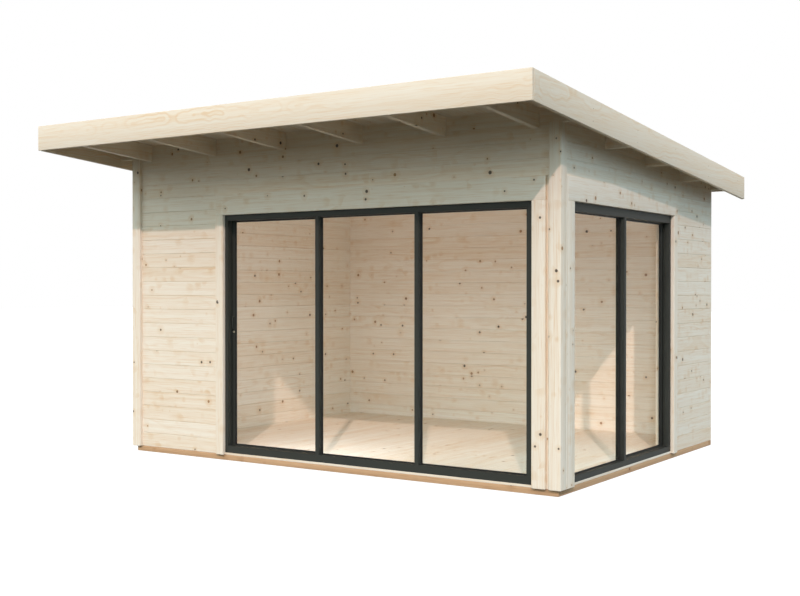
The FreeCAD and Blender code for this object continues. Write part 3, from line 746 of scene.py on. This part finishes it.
def leaf(side):
    """A sliding leaf: stiles the leaf's full height, and rails between them."""
    along = UNITS[side]["along"]
    body = f"{side}_door"
    low, high = map(np.array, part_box(f"{side}_leaf"))
    pane_low, pane_high = map(np.array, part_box(f"{side}_leaf_pane"))
    form = Form()
    for start, end in ((low[along], pane_low[along]), (pane_high[along], high[along])):
        stile_low, stile_high = low.copy(), high.copy()
        stile_low[along], stile_high[along] = start, end
        strip(form, stile_low, stile_high, 2, BAR_EASE)
    for start, end in ((low[2], pane_low[2]), (pane_high[2], high[2])):
        rail_low, rail_high = low.copy(), high.copy()
        rail_low[along], rail_high[along] = pane_low[along], pane_high[along]
        rail_low[2], rail_high[2] = start, end
        strip(form, rail_low, rail_high, along, BAR_EASE, end_ease=0)
    form.piece(f"{side}_leaf_bars", ALUMINIUM, "black_frame", [f"{side}_leaf"], body)


def glazing_rubber(side):
    """Rubber strips round both faces of every pane, and the spacer between its two sheets of glass."""
    along = UNITS[side]["along"]
    across = 1 - along
    for node, body, name in ((UNITS[side]["panes"], "building", "fixed"),
                             (f"{side}_leaf_pane", f"{side}_door", "leaf")):
        rubber = Form()
        for low, high in solids(node):
            for start, end in ((low[across] - RUBBER_PROUD, low[across]),
                               (high[across], high[across] + RUBBER_PROUD)):
                seal_low, seal_high = low.copy(), high.copy()
                seal_low[across], seal_high[across] = start, end
                ring_of(rubber, seal_low, seal_high, along, RUBBER_WIDTH)
            inset = np.full(3, RUBBER_WIDTH / 2)
            inset[across] = GLASS_SHEET
            ring_of(rubber, low + inset, high - inset, along, SPACER_WIDTH, SPACER_EASE)
        rubber.piece(f"{side}_{name}_pane_rubber", RUBBER, "black_frame", body=body)
    for node in (UNITS[side]["panes"], f"{side}_leaf_pane"):
        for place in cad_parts[node].material_slots:
            place.material = GLASS


for side in UNITS:
    fixed_frame(side)
    leaf(side)
    glazing_rubber(side)


def door_pull():
    """A slim pull: a flat bar whose path leaves the leaf, turns up in a quarter circle, runs up, and
    turns back in another. Its section lies square to that path."""
    low, high = map(np.array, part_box("front_handle"))
    bend = PULL_BEND
    swing = np.linspace(0, np.pi / 2, 7)
    thick = PULL_THICKNESS
    out = high[1] - low[1] - thick / 2
    foot = low[2] + thick / 2
    lower = np.stack([out - bend + bend * np.sin(swing), foot + bend - bend * np.cos(swing)], axis=1)
    upper = np.stack([lower[::-1, 0], low[2] + high[2] - lower[::-1, 1]], axis=1)
    path = np.concatenate([[[-PULL_ROOT, foot]], lower, upper,
                           [[-PULL_ROOT, low[2] + high[2] - foot]]])
    heading = np.gradient(path, axis=0)
    heading[0], heading[-1] = (1, 0), (-1, 0)
    heading /= np.linalg.norm(heading, axis=1, keepdims=True)
    section = outline(high[0] - low[0], thick, PULL_EASE, 3)
    rings = np.zeros((len(path), len(section), 3))
    rings[..., 0] = (low[0] + high[0]) / 2 + section[:, 0]
    rings[..., 1] = high[1] - path[:, :1] + section[:, 1] * heading[:, 1:]
    rings[..., 2] = path[:, 1:] + section[:, 1] * heading[:, :1]
    form = Form()
    form.solid(rings)
    form.piece("front_door_pull", ALUMINIUM, "black_frame", ["front_handle"], "front_door")


def door_lock():
    """A round lock: a turned rose whose edge is a quarter circle, a raised plug, and on the plug's face a
    black patch that paints the shade inside the keyway.
    """
    low, high = map(np.array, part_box("front_lock"))
    centre, radius = (low + high) / 2, (high[0] - low[0]) / 2
    depth = high[1] - low[1]
    rose = depth - PLUG_RISE
    turn = np.linspace(0, 2 * np.pi, LOCK_SIDES, endpoint=False)
    round_edge = np.linspace(0, np.pi / 2, 6)
    reach = np.concatenate([[radius], radius - LOCK_ROUND + LOCK_ROUND * np.cos(round_edge), PLUG_REACH])
    proud = np.concatenate([[-LOCK_ROOT], rose - LOCK_ROUND + LOCK_ROUND * np.sin(round_edge),
                            [rose, depth - PLUG_EASE, depth]])
    rings = np.zeros((len(reach), len(turn), 3))
    rings[..., 0] = centre[0] + reach[:, None] * np.cos(turn)
    rings[..., 1] = high[1] - proud[:, None]
    rings[..., 2] = centre[2] + reach[:, None] * np.sin(turn)
    form = Form()
    form.solid(rings)
    form.piece("front_door_lock", NICKEL, "lock_metal", ["front_lock"], "front_door")
    # The keyway is a thin black box, a hair proud of the plug's face: painted shade for the inside of the
    # slot.
    form = Form()
    half = np.array(KEYWAY_HALF)
    middle = np.array([centre[0], low[1] + half[1] / 2, centre[2]])
    strip(form, middle - half, middle + half, 2, KEYWAY_EASE, steps=1)
    form.piece("front_door_keyway_painted_shade", RUBBER, "black_frame", body="front_door")


door_pull()
door_lock()

# Camera, lights and floor.

def camera():
    """The view from the front right, a little under eye level."""
    lens = bpy.data.cameras.new("view")
    lens.lens = CAMERA_LENS
    lens.sensor_width = CAMERA_SENSOR
    lens.clip_end = CAMERA_CLIP
    made = bpy.data.objects.new("view", lens)
    made.location = CAMERA_PLACE
    made.rotation_euler = (math.radians(90 - CAMERA_DOWN), 0, math.radians(CAMERA_LEFT))
    bpy.context.scene.collection.objects.link(made)
    bpy.context.scene.camera = made


def sun():
    """A warm lamp from the front right, about 32 degrees up, just wide enough to soften the edges
    of shadows."""
    lamp = bpy.data.lights.new("sun", "SUN")
    lamp.energy = 1.0
    lamp.color = SUN_COLOUR
    lamp.angle = math.radians(SUN_WIDTH)
    made = bpy.data.objects.new("sun", lamp)
    made.rotation_euler = Vector(SUN_WAY).to_track_quat("-Z", "Y").to_euler()
    bpy.context.scene.collection.objects.link(made)


def room_lights():
    """Soft lights just inside the glass, over part or all of each unit's opening, that face into the
    room. The power is pi times the area times the brightness."""
    for side, unit in UNITS.items():
        along, across = unit["along"], 1 - unit["along"]
        low, high = map(np.array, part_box(f"{side}_frame_uprights"))
        high[along] = low[along] + ROOM_SPAN[side] * (high[along] - low[along])
        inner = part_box(f"{side}_frame_sill")[int(unit["inward"] > 0)][across]
        middle = (low + high) / 2
        middle[across] = inner + ROOM_INSET * unit["inward"]
        lamp = bpy.data.lights.new(f"{side}_room_light", "AREA")
        lamp.shape = "RECTANGLE"
        lamp.size, lamp.size_y = high[along] - low[along], high[2] - low[2]
        lamp.energy = math.pi * lamp.size * lamp.size_y * ROOM_GLOW[side]
        lamp.color = ROOM_COLOUR
        made = bpy.data.objects.new(f"{side}_room_light", lamp)
        made.location = middle
        facing = Vector((0, 1, 0)) if side == "front" else Vector((-1, 0, 0))
        made.rotation_euler = facing.to_track_quat("-Z", "Z").to_euler()
        made.visible_camera = False
        made.visible_glossy = False
        bpy.context.scene.collection.objects.link(made)


def seen(tree):
    """1 where the camera, a mirror image or glass shows a surface, and 0 for the light it gives."""
    ray = add(tree, "LightPath").outputs
    mirrored = add(tree, "Math", {0: ray["Is Camera Ray"], 1: ray["Is Glossy Ray"]}, operation="MAXIMUM")
    return add(tree, "Math", {0: mirrored, 1: ray["Is Transmission Ray"]}, operation="MAXIMUM")


def surroundings():
    """White where it is seen. For the light, a cool grey sky: brighter in front than at the back,
    greener and bluer on the right, and darker and a little yellower down at the horizon."""
    world = bpy.data.worlds.new("surroundings")
    world.use_nodes = True
    tree = world.node_tree
    tree.nodes.clear()
    way = add(tree, "TexCoord").outputs["Generated"]
    ahead = add(tree, "VectorMath", {0: way, 1: SKY_FRONT}, operation="DOT_PRODUCT").outputs["Value"]
    lean = add(tree, "Math", {0: ahead, 1: SKY_LEAN, 2: 1.0}, operation="MULTIPLY_ADD")
    leaning = add(tree, "VectorMath", {0: SKY_COLOUR, "Scale": lean}, operation="SCALE")
    apart = add(tree, "SeparateXYZ", {0: way}).outputs
    beside = add(tree, "VectorMath", {0: SKY_RIGHT, "Scale": apart["X"]}, operation="SCALE")
    both = add(tree, "VectorMath", {0: leaning, 1: beside}, operation="ADD")
    climb = add(tree, "MapRange", {"Value": apart["Z"], "From Max": SKY_CLIMB})
    shade = add(tree, "Mix", {"Factor": climb, 6: HORIZON_SKY, 7: HIGH_SKY}, data_type="RGBA")
    sky = add(tree, "VectorMath", {0: both, 1: shade.outputs[2]}, operation="MULTIPLY")
    shown = add(tree, "Mix", {"Factor": seen(tree), 6: sky, 7: WHITE}, data_type="RGBA")
    background = add(tree, "Background", {"Color": shown.outputs[2], "Strength": 1.0})
    tree.links.new(background.outputs[0], add(tree, "OutputWorld").inputs["Surface"])
    bpy.context.scene.world = world


def ground():
    """A plain pale floor. It looks white but for the shadow, and throws little light back up."""
    made, tree, output = material("floor_plain")
    shown = seen(tree)
    base = add(tree, "Mix", {"Factor": shown, 6: FLOOR_BOUNCE, 7: FLOOR_SEEN}, data_type="RGBA")
    matt = add(tree, "BsdfDiffuse", {"Color": base.outputs[2]})
    lift = add(tree, "Math", {0: shown, 1: FLOOR_LIFT}, operation="MULTIPLY")
    glow = add(tree, "Emission", {"Color": WHITE, "Strength": lift})
    both = add(tree, "AddShader", {0: matt, 1: glow})
    tree.links.new(both.outputs[0], output.inputs["Surface"])
    mesh = bpy.data.meshes.new("floor")
    corners = [(FLOOR_REACH * x, FLOOR_REACH * y, 0) for x, y in ((-1, -1), (1, -1), (1, 1), (-1, 1))]
    mesh.from_pydata(corners, [], [(0, 1, 2, 3)])
    mesh.materials.append(made)
    plane = bpy.data.objects.new("floor", mesh)
    bpy.context.scene.collection.objects.link(plane)


camera()
sun()
room_lights()
surroundings()
ground()
bpy.context.scene.view_settings.view_transform = "Standard"
